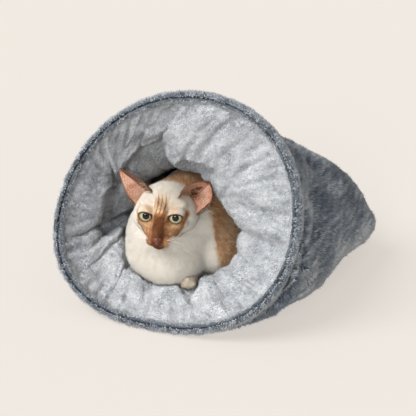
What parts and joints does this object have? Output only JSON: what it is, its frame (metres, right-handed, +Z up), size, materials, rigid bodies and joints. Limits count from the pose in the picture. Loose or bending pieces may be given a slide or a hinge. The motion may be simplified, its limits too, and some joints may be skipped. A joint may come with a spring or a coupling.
{
  "type": "plush cat in a cave bed",
  "caption": "Stuffed plush cat with a turning head, lying loose in a padded fur-covered cave bed with a hooped round mouth.",
  "frame": {"origin": "middle of the footprint, on the floor the bed lies on", "axes": "+Z up, -Y out of the bed's mouth, +X to the right of someone looking into the mouth"},
  "size_m": [0.3854, 0.3612, 0.2932],
  "materials": {
    "fur_cover": "long-pile faux fur with frosted tips",
    "base_cloth": "plain woven base cloth",
    "binding": "fur binding",
    "plush_lining": "short-pile plush",
    "wadding": "polyester wadding",
    "thread": "sewing thread",
    "steel": "spring steel wire",
    "brass": "crimped sleeve",
    "cream_plush": "short-pile plush",
    "tan_plush": "short-pile plush",
    "brown_plush": "short-pile plush",
    "ear_plush": "thin short-pile plush",
    "eye_plastic": "clear moulded plastic over a printed iris",
    "nose_plastic": "satin moulded plastic",
    "joint_plastic": "moulded plastic",
    "whisker_nylon": "nylon thread"
  },
  "bodies": {
    "bed": {"cover_upper": "fur_cover", "cover_base": "base_cloth", "rim_binding": "binding", "rear_seam_tape": "binding", "lining_front_lip": "plush_lining", "lining_lower_right": "plush_lining", "lining_right": "plush_lining", "lining_upper_right": "plush_lining", "lining_upper_left": "plush_lining", "lining_left": "plush_lining", "lining_back": "plush_lining", "wadding_front_lip": "wadding", "wadding_lower_right": "wadding", "wadding_right": "wadding", "wadding_upper_right": "wadding", "wadding_upper_left": "wadding", "wadding_left": "wadding", "wadding_back": "wadding", "lining_tack_1": "thread", "lining_tack_2": "thread", "lining_tack_3": "thread", "lining_tack_4": "thread", "lining_tack_5": "thread", "rim_hoop": "steel", "hoop_sleeve": "brass"},
    "cat_body": {"body_wadding": "wadding", "chest_skin": "cream_plush", "foreleg_left": "cream_plush", "foreleg_right": "cream_plush", "back_skin": "tan_plush", "hind_leg_left": "tan_plush", "hind_leg_right": "tan_plush", "tail": "brown_plush", "neck_washer": "joint_plastic"},
    "cat_head": {"head_skin": "cream_plush", "face_panel": "brown_plush", "head_wadding": "wadding", "ear_left_back": "tan_plush", "ear_left_lining": "ear_plush", "ear_right_back": "tan_plush", "ear_right_lining": "ear_plush", "eye_left": "eye_plastic", "eye_right": "eye_plastic", "eye_left_washer": "joint_plastic", "eye_right_washer": "joint_plastic", "nose": "nose_plastic", "nose_washer": "joint_plastic", "whiskers_left": "whisker_nylon", "whiskers_right": "whisker_nylon", "neck_disc": "joint_plastic", "neck_lock_ring": "joint_plastic"}
  },
  "joints": [
    {"name": "cat_slide_out", "type": "slide", "parent": "bed", "child": "cat_body", "axis": [0, -0.9848, 0.1736], "range_m": [0, 0.34]},
    {"name": "head_turn", "type": "hinge", "parent": "cat_body", "child": "cat_head", "pos_m": [-0.02795, -0.06619, 0.11173], "axis": [0, -0.5736, 0.8192], "range_deg": [-35, 35]}
  ]
}
